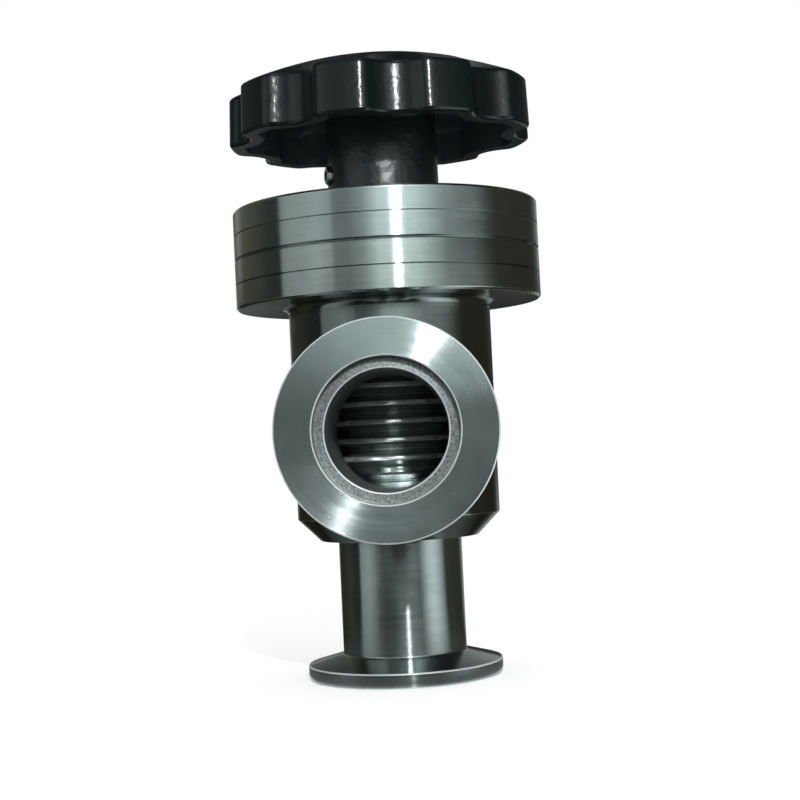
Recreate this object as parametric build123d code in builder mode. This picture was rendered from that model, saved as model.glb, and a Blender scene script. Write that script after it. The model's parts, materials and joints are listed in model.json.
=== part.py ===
from build123d import *
from math import cos, radians, sin, sqrt, tan
import os

# Right-angle vacuum valve with a bellows-sealed stem, moved by a rising handwheel.
# Millimetres. The origin is the centre of the lower port's sealing face, +Z runs up the stem
# to the handwheel, and the side port looks along -Y. The valve is drawn closed.

# Quick-release flange ports, both alike
port_reach = 50.0          # from the crossing of the two port axes to each sealing face
tube_od = 25.4
tube_wall = 1.65
port_flange_od = 40.0
port_rim = 3.0             # straight edge of the flange
port_cone_angle = 15.0     # clamping cone behind the rim
recess_od = 26.2           # seat of the centring ring
recess_depth = 2.6
port_edge_chamfer = 0.4
weld_gap = 0.04            # between a stub and the body it is welded into
cut_margin = 1.0           # how far a cut runs past the wall that it goes through

# Seat, disc and its seal
seal_d = 3.0               # cord of the disc's ring
seal_land = 0.65           # from the bore's edge to the ring's inner side
disc_lip = 0.8             # metal outside the ring's groove
seal_standoff = 0.35       # how far the ring stands out of the disc
seal_clearance = 0.05
disc_thickness = 6.05
disc_chamfer = 0.4

# Valve body
flow_gap = 2.5             # free space around the disc
body_wall = 2.85
floor_thickness = 5.7
seat_drop = 3.3            # from the side tube's lower edge down to the seat
socket_depth = 3.0         # how deep the lower stub sits in the floor
body_chamfer = 4.6
body_rise = 36.35          # from the side port's axis up to the joint face
body_flange_thickness = 10.05
body_fillet = 1.5

# Joint between body and bonnet
ring_land = 4.0            # width of the shelf that the bellows plate sits on
plate_thickness = 3.05
plate_clearance = 0.1
joint_seal_d = 1.7
joint_groove_extra = 0.5
joint_chamfer = 0.45
rim_groove = 0.3           # depth of the line turned round each rim
bonnet_thickness = 10.1
rim_margin = 1.35          # metal outside the screw heads
screw_count = 6
screw_d = 4.0
screw_head_d = 7.0
screw_head_height = 4.0
screw_length = 14.0
screw_clearance = 0.25
screw_socket = 3.0         # across the flats
screw_inset = 0.65         # from the plate's recess to the head's counterbore
blind_extra = 0.5

# Spindle and nut
spindle_d = 10.0
travel = 10.5
running_gap = 0.05
nut_length = 11.5
nut_flange_width = 2.0
nut_flange_thickness = 2.2
clip_thickness = 1.0
clip_inset = 0.45          # from the clip's top to the bonnet's face
clip_depth = 0.7           # how far a clip sits in its groove
clip_width = 2.0
clip_gap = 0.05
clip_eye_share = 0.45      # hole of a clip's eye, as a share of the eye
clip_opening = 40.0        # degrees that a clip leaves open
nut_pin_d = 1.8
nut_pin_length = 4.0

# Stem, which slides and doesn't turn
stem_bore_gap = 0.35
stem_wall = 1.6
stem_top_gap = 0.8         # left between stem and nut with the valve open
bush_wall = 1.0
bush_length = 18.0
barrel_wall = 1.2
barrel_length = 24.35
key_d = 2.4
key_height = 2.2           # above the barrel's end
key_side_gap = 0.08
key_tip_gap = 0.4
spindle_head_d = 10.4
spindle_head_height = 4.5
spindle_neck_d = 8.4
neck_length = 3.0
clip_setback = 4.2         # from the stem's top down to its clip
ball_d = 5.0
stud_d = 6.0
stud_length = 3.2

# Bellows
bellows_gap = 0.8          # between barrel and roots
bellows_depth = 5.0        # from root to crest
bellows_wall = 0.2
bellows_folds = 11
fold_flat = 0.85
lower_cuff = 0.2           # straight lengths before the first fold and after the last
upper_cuff = 1.05
lower_ring_thickness = 1.5
ring_margin = 0.3
ring_inset = 0.175         # how far the lower ring stays inside the disc's edge

# Handwheel
wheel_inset = 0.15         # how far the rim stays inside the bonnet's, seen from above
wheel_stand = 13.85        # from the bonnet's face to the rim's underside
rim_height = 8.9
dome_rise = 8.0
rim_lower_round = 2.6
rim_upper_round = 1.5
section_margin = 0.05      # how far the rim's turned section runs past its lobes
scallop_count = 9
scallop_width = 13.0
scallop_depth = 2.8
scallop_corner = 1.2
scallop_turn = 7.8         # degrees from -Y to the first scallop
rim_wall = 3.2
roof_thickness = 3.6
hub_d = 23.0
hub_gap = 1.1              # from the bonnet's face to the hub
hub_chamfer = 0.5
insert_wall = 3.5
insert_length = 19.0
insert_recess = 0.6
spindle_end_d = 8.0
set_screw_d = 4.0
set_screw_height = 7.0     # above the bonnet's face
set_screw_turn = 73.0      # degrees from -Y towards -X
set_screw_proud = 0.7
set_screw_chamfer = 0.4
set_screw_socket = 2.0
set_screw_socket_depth = 1.6

# Radii, worked out from the bore and the spindle outwards
tube_r = tube_od / 2
bore_r = tube_r - tube_wall
spindle_r = spindle_d / 2
stem_bore_r = max(spindle_r, spindle_head_d / 2) + stem_bore_gap / 2
stem_r = stem_bore_r + stem_wall
bush_r = stem_r + running_gap + bush_wall
barrel_r = bush_r + barrel_wall
nut_r = bush_r
nut_flange_r = nut_r + nut_flange_width
root_r = barrel_r + bellows_gap
crest_r = root_r + bellows_depth
seal_r = bore_r + seal_land + seal_d / 2
disc_r = max(seal_r + seal_d / 2 + disc_lip, crest_r + ring_margin)
ring_r = disc_r - ring_inset
chamber_r = disc_r + flow_gap
body_r = chamber_r + body_wall
shelf_r = chamber_r + ring_land
head_seat_r = screw_head_d / 2 + screw_clearance
screw_circle_r = shelf_r + screw_inset + head_seat_r
stack_r = screw_circle_r + head_seat_r + rim_margin

# Heights
side_z = port_reach
seat_z = side_z - tube_r - seat_drop
body_z = seat_z - floor_thickness
joint_z = side_z + body_rise
body_flange_z = joint_z - body_flange_thickness
bonnet_z = joint_z + bonnet_thickness
disc_z = seat_z + seal_standoff
disc_top_z = disc_z + disc_thickness
ring_top_z = disc_top_z + lower_ring_thickness
plate_z = joint_z - plate_thickness
barrel_z = joint_z - barrel_length
key_z = barrel_z + key_height
clip_z = bonnet_z - clip_inset - clip_thickness
nut_top_z = clip_z - clip_gap
nut_z = nut_top_z - nut_length
stem_top_z = nut_z - travel - stem_top_gap
stem_clip_z = stem_top_z - clip_setback
head_top_z = stem_clip_z - clip_gap
head_z = head_top_z - spindle_head_height
ball_z = head_z - ball_d
hub_z = bonnet_z + hub_gap
insert_z = hub_z + insert_recess
insert_top_z = insert_z + insert_length
wheel_z = bonnet_z + wheel_stand
wheel_edge_z = wheel_z + rim_height
wheel_top_z = wheel_edge_z + dome_rise
set_screw_z = bonnet_z + set_screw_height

joint_seal_r = (chamber_r + shelf_r) / 2
hub_r = hub_d / 2
insert_r = spindle_end_d / 2 + insert_wall
wheel_r = stack_r - wheel_inset
dome_r = (wheel_r**2 + dome_rise**2) / (2 * dome_rise)
joint_groove_width = joint_seal_d + joint_groove_extra
screw_depth = screw_length - (bonnet_thickness - screw_head_height - screw_clearance)
screw_places = PolarLocations(screw_circle_r, screw_count, 180 / screw_count)
nut_pin_place = Locations((nut_flange_r, 0))

os.makedirs("parts", exist_ok=True)


def finish(builder, name):
    builder.part.label = name
    export_step(builder.part, f"parts/{name}.step")


def port_points(length):
    # Half section of a flanged stub, from its sealing face at height 0.
    rim_r = port_flange_od / 2
    cone_rise = (rim_r - tube_r) * tan(radians(port_cone_angle))
    recess_r = recess_od / 2
    return [
        (recess_r, 0),
        (rim_r - port_edge_chamfer, 0),
        (rim_r, port_edge_chamfer),
        (rim_r, port_rim),
        (tube_r, port_rim + cone_rise),
        (tube_r, length),
        (bore_r, length),
        (bore_r, recess_depth),
        (recess_r, recess_depth),
    ]


def box_points(inner_r, outer_r, low_z, high_z, edge=0.0):
    # Half section of a plain ring, its outer corners cut off by edge.
    if edge == 0:
        return [(inner_r, low_z), (outer_r, low_z), (outer_r, high_z), (inner_r, high_z)]
    return [
        (inner_r, low_z),
        (outer_r - edge, low_z),
        (outer_r, low_z + edge),
        (outer_r, high_z - edge),
        (outer_r - edge, high_z),
        (inner_r, high_z),
    ]


def clip_outline(inner_r, outer_r):
    # Open spring ring with a round eye at each end.
    eye_r = (outer_r - inner_r) / 2
    half_gap = clip_opening / 2
    far_x = 2 * outer_r * cos(radians(half_gap))
    far_y = 2 * outer_r * sin(radians(half_gap))
    with BuildSketch() as clip:
        Circle(outer_r)
        Circle(inner_r, mode=Mode.SUBTRACT)
        with BuildLine():
            Polyline((0, 0), (far_x, -far_y), (far_x, far_y), close=True)
        make_face(mode=Mode.SUBTRACT)
        with PolarLocations(outer_r - eye_r, 2, -half_gap, 2 * half_gap, endpoint=True):
            Circle(eye_r)
        with PolarLocations(outer_r - eye_r, 2, -half_gap, 2 * half_gap, endpoint=True):
            Circle(eye_r * clip_eye_share, mode=Mode.SUBTRACT)
    return clip.sketch


def wheel_outline(inset):
    # Rim seen from above, each of its arcs moved inwards by inset.
    half = scallop_width / 2
    chord_x = sqrt(wheel_r**2 - half**2)
    sag = chord_x - (wheel_r - scallop_depth)
    cutter_r = (half**2 + sag**2) / (2 * sag)
    with BuildSketch() as outline:
        Circle(wheel_r - inset)
        with PolarLocations(wheel_r - scallop_depth + cutter_r, scallop_count, scallop_turn - 90):
            Circle(cutter_r + inset, mode=Mode.SUBTRACT)
        fillet(outline.vertices(), radius=scallop_corner)
    return outline.sketch


def dome_z(top_z, radius):
    # Height of a dome, shaped like the handwheel's, at a radius.
    return top_z - dome_r + sqrt(dome_r**2 - radius**2)


# Lower port: flanged stub welded into the body's floor
with BuildPart() as lower_port:
    with BuildSketch(Plane.XZ):
        with BuildLine():
            Polyline(*port_points(body_z + socket_depth), close=True)
        make_face()
    revolve(axis=Axis.Z)
finish(lower_port, "lower_port")

# Side port: the same stub, cut to the curve of the valve chamber
side_plane = Plane(origin=(0, -port_reach, side_z), x_dir=(1, 0, 0), z_dir=(0, 0, 1))
side_length = port_reach - sqrt(chamber_r**2 - tube_r**2) + cut_margin
with BuildPart() as side_port:
    with BuildSketch(side_plane):
        with BuildLine():
            Polyline(*port_points(side_length), close=True)
        make_face()
    revolve(axis=Axis((0, -port_reach, side_z), (0, 1, 0)))
    with BuildSketch(Plane.XY.offset(side_z - tube_od)):
        Circle(chamber_r)
    extrude(amount=2 * tube_od, mode=Mode.SUBTRACT)
finish(side_port, "side_port")

# Valve body: turned in one piece with its floor, seat and upper flange
with BuildPart() as valve_body:
    body_groove_z = (body_flange_z + joint_z) / 2
    with BuildSketch(Plane.XZ):
        with BuildLine():
            Polyline(
                (tube_r + weld_gap, body_z),
                (body_r - body_chamfer, body_z),
                (body_r, body_z + body_chamfer),
                (body_r, body_flange_z),
                (stack_r - joint_chamfer, body_flange_z),
                (stack_r, body_flange_z + joint_chamfer),
                (stack_r, body_groove_z - rim_groove),
                (stack_r - rim_groove, body_groove_z),
                (stack_r, body_groove_z + rim_groove),
                (stack_r, joint_z - joint_chamfer),
                (stack_r - joint_chamfer, joint_z),
                (shelf_r, joint_z),
                (shelf_r, plate_z),
                (chamber_r, plate_z),
                (chamber_r, seat_z),
                (bore_r, seat_z),
                (bore_r, body_z + socket_depth),
                (tube_r + weld_gap, body_z + socket_depth),
                close=True,
            )
        make_face()
    revolve(axis=Axis.Z)
    neck_edge = valve_body.edges().filter_by(GeomType.CIRCLE).filter_by(
        lambda edge: abs(edge.radius - body_r) < 0.001 and abs(edge.center().Z - body_flange_z) < 0.001
    )
    fillet(neck_edge, radius=body_fillet)
    with BuildSketch(Plane.XY.offset(plate_z)):
        Circle(joint_seal_r + joint_groove_width / 2)
        Circle(joint_seal_r - joint_groove_width / 2, mode=Mode.SUBTRACT)
    extrude(amount=-(joint_seal_d + seal_clearance), mode=Mode.SUBTRACT)
    with BuildSketch(Plane(origin=(0, 0, side_z), x_dir=(1, 0, 0), z_dir=(0, -1, 0))):
        Circle(tube_r + weld_gap)
    extrude(amount=body_r + cut_margin, mode=Mode.SUBTRACT)
    with BuildSketch(Plane.XY.offset(joint_z)):
        with screw_places:
            Circle(screw_d / 2 + running_gap)
    extrude(amount=-(screw_depth + blind_extra), mode=Mode.SUBTRACT)
finish(valve_body, "valve_body")

# Valve disc: carries its seal in a groove underneath and the stem's stud in a blind hole
seal_groove_half = (seal_d + seal_clearance) / 2
with BuildPart() as valve_disc:
    with BuildSketch(Plane.XZ):
        with BuildLine():
            Polyline(
                (0, disc_z),
                (seal_r - seal_groove_half, disc_z),
                (seal_r - seal_groove_half, disc_z + seal_d - seal_standoff + seal_clearance),
                (seal_r + seal_groove_half, disc_z + seal_d - seal_standoff + seal_clearance),
                (seal_r + seal_groove_half, disc_z),
                (disc_r - disc_chamfer, disc_z),
                (disc_r, disc_z + disc_chamfer),
                (disc_r, disc_top_z - disc_chamfer),
                (disc_r - disc_chamfer, disc_top_z),
                (stud_d / 2 + running_gap, disc_top_z),
                (stud_d / 2 + running_gap, disc_top_z - stud_length - blind_extra),
                (0, disc_top_z - stud_length - blind_extra),
                close=True,
            )
        make_face()
    revolve(axis=Axis.Z)
finish(valve_disc, "valve_disc")

with BuildPart() as disc_seal:
    with BuildSketch(Plane.XZ):
        with Locations((seal_r, seat_z + seal_clearance + seal_d / 2)):
            Circle(seal_d / 2)
    revolve(axis=Axis.Z)
finish(disc_seal, "disc_seal")

# Bellows and the two rings that it is welded to
with BuildPart() as lower_ring:
    with BuildSketch(Plane.XZ):
        with BuildLine():
            Polyline(*box_points(root_r, ring_r, disc_top_z, ring_top_z, disc_chamfer), close=True)
        make_face()
    revolve(axis=Axis.Z)
finish(lower_ring, "bellows_lower_ring")

with BuildPart() as bellows_plate:
    with BuildSketch(Plane.XZ):
        with BuildLine():
            Polyline(
                *box_points(barrel_r + ring_margin, shelf_r - plate_clearance, plate_z, joint_z), close=True
            )
        make_face()
    revolve(axis=Axis.Z)
finish(bellows_plate, "bellows_plate")

fold_pitch = (plate_z - ring_top_z - lower_cuff - upper_cuff) / bellows_folds
bellows_outside = [(root_r + bellows_wall, ring_top_z)]
bellows_inside = [(root_r, ring_top_z)]
for fold in range(bellows_folds):
    crest_z = ring_top_z + lower_cuff + (fold + 0.5) * fold_pitch
    root_half = (fold_pitch - fold_flat) / 2
    crest_half = fold_flat / 2
    bellows_outside += [
        (root_r + bellows_wall, crest_z - root_half - bellows_wall / 2),
        (crest_r, crest_z - crest_half - bellows_wall / 2),
        (crest_r, crest_z + crest_half + bellows_wall / 2),
        (root_r + bellows_wall, crest_z + root_half + bellows_wall / 2),
    ]
    bellows_inside += [
        (root_r, crest_z - root_half + bellows_wall / 2),
        (crest_r - bellows_wall, crest_z - crest_half + bellows_wall / 2),
        (crest_r - bellows_wall, crest_z + crest_half - bellows_wall / 2),
        (root_r, crest_z + root_half - bellows_wall / 2),
    ]
bellows_outside.append((root_r + bellows_wall, plate_z))
bellows_inside.append((root_r, plate_z))
with BuildPart() as bellows:
    with BuildSketch(Plane.XZ):
        with BuildLine():
            Polyline(*bellows_outside, *reversed(bellows_inside), close=True)
        make_face()
    revolve(axis=Axis.Z)
finish(bellows, "bellows")

with BuildPart() as joint_seal:
    with BuildSketch(Plane.XZ):
        with Locations((joint_seal_r, plate_z - seal_clearance / 2 - joint_seal_d / 2)):
            Circle(joint_seal_d / 2)
    revolve(axis=Axis.Z)
finish(joint_seal, "joint_seal")

# Bonnet: clamping flange above, guide barrel below
with BuildPart() as bonnet:
    bonnet_groove_z = (joint_z + bonnet_z) / 2
    clip_groove_r = nut_flange_r + clip_depth + clip_gap
    nut_seat_z = nut_top_z - nut_flange_thickness
    with BuildSketch(Plane.XZ):
        with BuildLine():
            Polyline(
                (bush_r + weld_gap, barrel_z),
                (barrel_r, barrel_z),
                (barrel_r, joint_z),
                (stack_r - joint_chamfer, joint_z),
                (stack_r, joint_z + joint_chamfer),
                (stack_r, bonnet_groove_z - rim_groove),
                (stack_r - rim_groove, bonnet_groove_z),
                (stack_r, bonnet_groove_z + rim_groove),
                (stack_r, bonnet_z - joint_chamfer),
                (stack_r - joint_chamfer, bonnet_z),
                (nut_flange_r + clip_gap, bonnet_z),
                (nut_flange_r + clip_gap, clip_z + clip_thickness + clip_gap),
                (clip_groove_r, clip_z + clip_thickness + clip_gap),
                (clip_groove_r, clip_z - clip_gap / 2),
                (nut_flange_r + clip_gap, clip_z - clip_gap / 2),
                (nut_flange_r + clip_gap, nut_seat_z),
                (bush_r + weld_gap, nut_seat_z),
                close=True,
            )
        make_face()
    revolve(axis=Axis.Z)
    with BuildSketch(Plane.XY.offset(bonnet_z)):
        with screw_places:
            Circle(head_seat_r)
    extrude(amount=-(screw_head_height + screw_clearance), mode=Mode.SUBTRACT)
    with BuildSketch(Plane.XY.offset(bonnet_z)):
        with screw_places:
            Circle(screw_d / 2 + screw_clearance)
    extrude(amount=-bonnet_thickness, mode=Mode.SUBTRACT)
    with BuildSketch(Plane.XY.offset(nut_top_z)):
        with nut_pin_place:
            Circle(nut_pin_d / 2 + weld_gap)
    extrude(amount=-nut_pin_length, mode=Mode.SUBTRACT)
    with BuildSketch(Plane.XZ):
        with Locations((0, key_z)):
            Circle(key_d / 2 + weld_gap)
    extrude(amount=-barrel_r - cut_margin, mode=Mode.SUBTRACT)
finish(bonnet, "bonnet")

with BuildPart() as bonnet_screws:
    screw_head_z = bonnet_z - screw_clearance
    with BuildSketch(Plane.XY.offset(screw_head_z)):
        with screw_places:
            Circle(screw_head_d / 2)
    extrude(amount=-screw_head_height)
    with BuildSketch(Plane.XY.offset(screw_head_z)):
        with screw_places:
            Circle(screw_d / 2)
    extrude(amount=-(screw_head_height + screw_length))
    with BuildSketch(Plane.XY.offset(screw_head_z)):
        with screw_places:
            RegularPolygon(screw_socket / 2, 6, major_radius=False)
    extrude(amount=-screw_head_height / 2, mode=Mode.SUBTRACT)
finish(bonnet_screws, "bonnet_screws")

# Drive nut, held down by a spring clip and kept from turning by a pin in its edge
with BuildPart() as drive_nut:
    with BuildSketch(Plane.XZ):
        with BuildLine():
            Polyline(
                (spindle_r + running_gap, nut_z),
                (nut_r, nut_z),
                (nut_r, nut_seat_z),
                (nut_flange_r, nut_seat_z),
                (nut_flange_r, nut_top_z),
                (spindle_r + running_gap, nut_top_z),
                close=True,
            )
        make_face()
    revolve(axis=Axis.Z)
    with BuildSketch(Plane.XY.offset(nut_top_z)):
        with nut_pin_place:
            Circle(nut_pin_d / 2 + weld_gap)
    extrude(amount=-nut_pin_length, mode=Mode.SUBTRACT)
finish(drive_nut, "drive_nut")

with BuildPart() as nut_pin:
    with BuildSketch(Plane.XY.offset(nut_top_z)):
        with nut_pin_place:
            Circle(nut_pin_d / 2)
    extrude(amount=-(nut_pin_length - clip_gap))
finish(nut_pin, "nut_pin")

with BuildPart() as nut_clip:
    with BuildSketch(Plane.XY.offset(clip_z)):
        add(clip_outline(nut_flange_r - clip_width, nut_flange_r + clip_depth))
    extrude(amount=clip_thickness)
finish(nut_clip, "nut_clip")

# Guide bush pressed into the barrel, and the key that keeps the stem from turning
with BuildPart() as guide_bush:
    with BuildSketch(Plane.XZ):
        with BuildLine():
            Polyline(*box_points(stem_r + running_gap, bush_r, barrel_z, barrel_z + bush_length), close=True)
        make_face()
    revolve(axis=Axis.Z)
    with BuildSketch(Plane.XZ):
        with Locations((0, key_z)):
            Circle(key_d / 2 + weld_gap)
    extrude(amount=-barrel_r, mode=Mode.SUBTRACT)
finish(guide_bush, "guide_bush")

with BuildPart() as guide_key:
    with BuildSketch(Plane.XZ.offset(-barrel_r + key_side_gap)):
        with Locations((0, key_z)):
            Circle(key_d / 2)
    extrude(amount=barrel_r - stem_bore_r - key_side_gap - key_tip_gap)
finish(guide_key, "guide_key")

# Stem: slides in the bush, screwed into the disc by its stud
with BuildPart() as valve_stem:
    stem_clip_groove_r = stem_bore_r + clip_depth / 2 + clip_gap
    with BuildSketch(Plane.XZ):
        with BuildLine():
            Polyline(
                (0, disc_top_z - stud_length),
                (stud_d / 2, disc_top_z - stud_length),
                (stud_d / 2, disc_top_z),
                (stem_r, disc_top_z),
                (stem_r, stem_top_z),
                (stem_bore_r, stem_top_z),
                (stem_bore_r, stem_clip_z + clip_thickness + clip_gap),
                (stem_clip_groove_r, stem_clip_z + clip_thickness + clip_gap),
                (stem_clip_groove_r, stem_clip_z - clip_gap / 2),
                (stem_bore_r, stem_clip_z - clip_gap / 2),
                (stem_bore_r, ball_z),
                (0, ball_z),
                close=True,
            )
        make_face()
    revolve(axis=Axis.Z)
    slot_half = key_d / 2 + key_side_gap
    with BuildSketch(Plane.XZ.offset(-stem_r - cut_margin)):
        with Locations((0, key_z - travel / 2)):
            SlotCenterToCenter(travel + 2 * key_side_gap, 2 * slot_half, rotation=90)
    extrude(amount=stem_r + cut_margin - stem_bore_r, mode=Mode.SUBTRACT)
finish(valve_stem, "valve_stem")

with BuildPart() as thrust_ball:
    with Locations((0, 0, ball_z + ball_d / 2)):
        Sphere(ball_d / 2 - clip_gap / 2)
finish(thrust_ball, "thrust_ball")

with BuildPart() as spindle_clip:
    with BuildSketch(Plane.XY.offset(stem_clip_z)):
        add(clip_outline(spindle_neck_d / 2 + running_gap, stem_bore_r + clip_depth / 2))
    extrude(amount=clip_thickness)
finish(spindle_clip, "spindle_clip")

# Spindle: head held in the stem, thread in the nut, plain end in the handwheel
with BuildPart() as spindle:
    thread_z = head_top_z + neck_length
    with BuildSketch(Plane.XZ):
        with BuildLine():
            Polyline(
                (0, head_z),
                (spindle_head_d / 2, head_z),
                (spindle_head_d / 2, head_top_z),
                (spindle_neck_d / 2, head_top_z),
                (spindle_neck_d / 2, thread_z),
                (spindle_r, thread_z + spindle_r - spindle_neck_d / 2),
                (spindle_r, insert_z - clip_gap),
                (spindle_end_d / 2, insert_z - clip_gap),
                (spindle_end_d / 2, insert_top_z - clip_gap),
                (0, insert_top_z - clip_gap),
                close=True,
            )
        make_face()
    revolve(axis=Axis.Z)
finish(spindle, "spindle")

# Handwheel: a domed moulding, scalloped round its rim and hollow underneath
screw_plane = Plane(
    origin=(0, 0, set_screw_z),
    x_dir=(0, 0, 1),
    z_dir=(-sin(radians(set_screw_turn)), -cos(radians(set_screw_turn)), 0),
)
with BuildPart() as wheel_hollow:
    hollow_z = wheel_z - rim_height
    roof_z = wheel_top_z - roof_thickness
    with BuildSketch(Plane.XY.offset(hollow_z)):
        add(wheel_outline(rim_wall))
    extrude(amount=roof_z - hollow_z)
    with BuildSketch(Plane.XZ):
        with BuildLine():
            roof_start = (wheel_r, dome_z(roof_z, wheel_r))
            roof_middle = ((wheel_r + hub_r) / 2, dome_z(roof_z, (wheel_r + hub_r) / 2))
            roof_end = (hub_r, dome_z(roof_z, hub_r))
            Polyline(roof_end, (hub_r, hollow_z), (wheel_r, hollow_z), roof_start)
            ThreePointArc(roof_start, roof_middle, roof_end)
        make_face()
    revolve(axis=Axis.Z, mode=Mode.INTERSECT)

with BuildPart() as handwheel:
    with BuildSketch(Plane.XY.offset(wheel_z)):
        add(wheel_outline(0))
    extrude(amount=rim_height + dome_rise)
    with BuildSketch(Plane.XZ) as wheel_section:
        with BuildLine():
            section_r = wheel_r + section_margin
            dome_edge = (section_r, dome_z(wheel_top_z, section_r))
            dome_middle = (wheel_r / 2, dome_z(wheel_top_z, wheel_r / 2))
            Polyline((0, wheel_top_z), (0, wheel_z), (section_r, wheel_z), dome_edge)
            ThreePointArc(dome_edge, dome_middle, (0, wheel_top_z))
        make_face()
        rim_corners = wheel_section.vertices().group_by(Axis.X)[-1].sort_by(Axis.Y)
        fillet(rim_corners[0], radius=rim_lower_round)
        rim_corners = wheel_section.vertices().group_by(Axis.X)[-1].sort_by(Axis.Y)
        fillet(rim_corners[-1], radius=rim_upper_round)
    revolve(axis=Axis.Z, mode=Mode.INTERSECT)
    add(wheel_hollow.part, mode=Mode.SUBTRACT)
    with BuildSketch(Plane.XY.offset(hub_z)):
        Circle(hub_r)
    extrude(amount=wheel_z - hub_z)
    hub_rim = handwheel.edges().filter_by(GeomType.CIRCLE).group_by(Axis.Z)[0]
    chamfer(hub_rim, length=hub_chamfer)
    with BuildSketch(Plane.XY.offset(hub_z)):
        Circle(insert_r + weld_gap)
    extrude(amount=insert_top_z - hub_z, mode=Mode.SUBTRACT)
    with BuildSketch(screw_plane):
        Circle(set_screw_d / 2 + weld_gap)
    extrude(amount=hub_r + cut_margin, mode=Mode.SUBTRACT)
finish(handwheel, "handwheel")

with BuildPart() as wheel_insert:
    with BuildSketch(Plane.XZ):
        with BuildLine():
            Polyline(
                *box_points(spindle_end_d / 2 + weld_gap, insert_r, insert_z, insert_top_z), close=True
            )
        make_face()
    revolve(axis=Axis.Z)
    with BuildSketch(screw_plane):
        Circle(set_screw_d / 2 + weld_gap)
    extrude(amount=insert_r + cut_margin, mode=Mode.SUBTRACT)
finish(wheel_insert, "wheel_insert")

with BuildPart() as set_screw:
    set_screw_start = spindle_end_d / 2 + weld_gap
    with BuildSketch(screw_plane.offset(set_screw_start)):
        Circle(set_screw_d / 2)
    extrude(amount=hub_r + set_screw_proud - set_screw_start)
    chamfer(set_screw.edges().filter_by(GeomType.CIRCLE), length=set_screw_chamfer)
    with BuildSketch(screw_plane.offset(hub_r + set_screw_proud)):
        RegularPolygon(set_screw_socket / 2, 6, major_radius=False)
    extrude(amount=-set_screw_socket_depth, mode=Mode.SUBTRACT)
finish(set_screw, "set_screw")
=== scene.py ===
import json
import math

import bmesh
import bpy
import numpy
from mathutils import Matrix, Quaternion, Vector


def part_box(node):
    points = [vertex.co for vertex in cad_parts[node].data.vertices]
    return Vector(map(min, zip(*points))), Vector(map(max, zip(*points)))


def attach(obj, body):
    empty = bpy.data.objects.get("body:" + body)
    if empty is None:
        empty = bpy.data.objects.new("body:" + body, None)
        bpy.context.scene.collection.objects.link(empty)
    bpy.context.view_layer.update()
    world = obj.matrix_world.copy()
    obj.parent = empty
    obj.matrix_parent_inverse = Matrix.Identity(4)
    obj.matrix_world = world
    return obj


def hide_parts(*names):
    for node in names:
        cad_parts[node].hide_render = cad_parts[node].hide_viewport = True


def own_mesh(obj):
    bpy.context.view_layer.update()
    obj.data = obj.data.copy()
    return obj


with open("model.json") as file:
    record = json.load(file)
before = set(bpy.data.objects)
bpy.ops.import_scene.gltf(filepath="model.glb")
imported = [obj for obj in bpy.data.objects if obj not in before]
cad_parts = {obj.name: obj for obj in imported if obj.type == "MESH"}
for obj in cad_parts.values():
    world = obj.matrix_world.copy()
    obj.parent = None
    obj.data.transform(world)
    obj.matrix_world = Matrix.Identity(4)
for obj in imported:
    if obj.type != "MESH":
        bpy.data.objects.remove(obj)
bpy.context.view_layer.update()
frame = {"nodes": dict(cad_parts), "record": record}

mm = 0.001          # sizes in the dictionaries are millimetres, the scene is metres
crisp = 0.04 * mm   # a corner with a round up to this stays sharp
nodes = frame["nodes"]
print("frame loaded:", len(nodes), "nodes")


# Mesh tools

def makePiece(name, points, faces):
    mesh = bpy.data.meshes.new(name)
    mesh.from_pydata(points, [], faces)
    mesh.polygons.foreach_set("use_smooth", [True] * len(mesh.polygons))
    mesh.update()
    piece = bpy.data.objects.new(name, mesh)
    bpy.context.scene.collection.objects.link(piece)
    return piece


def around(radius, angle, height):
    return Vector((radius * math.cos(angle), radius * math.sin(angle), height))


def ringFaces(rings, turns, closed=False):
    # Faces between rings of points that are listed ring after ring.
    faces = []
    for row in range(rings if closed else rings - 1):
        here, there = row * turns, (row + 1) % rings * turns
        for k in range(turns):
            right = (k + 1) % turns
            faces.append((here + k, here + right, there + right, there + k))
    return faces


def dress(piece, finishes, body, replaced):
    for material in finishes:
        piece.data.materials.append(material)
    if len(finishes) == 1:
        # one material covers the rounded edges too
        piece.data.polygons.foreach_set("material_index", [0] * len(piece.data.polygons))
    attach(piece, body)
    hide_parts(replaced)


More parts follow.
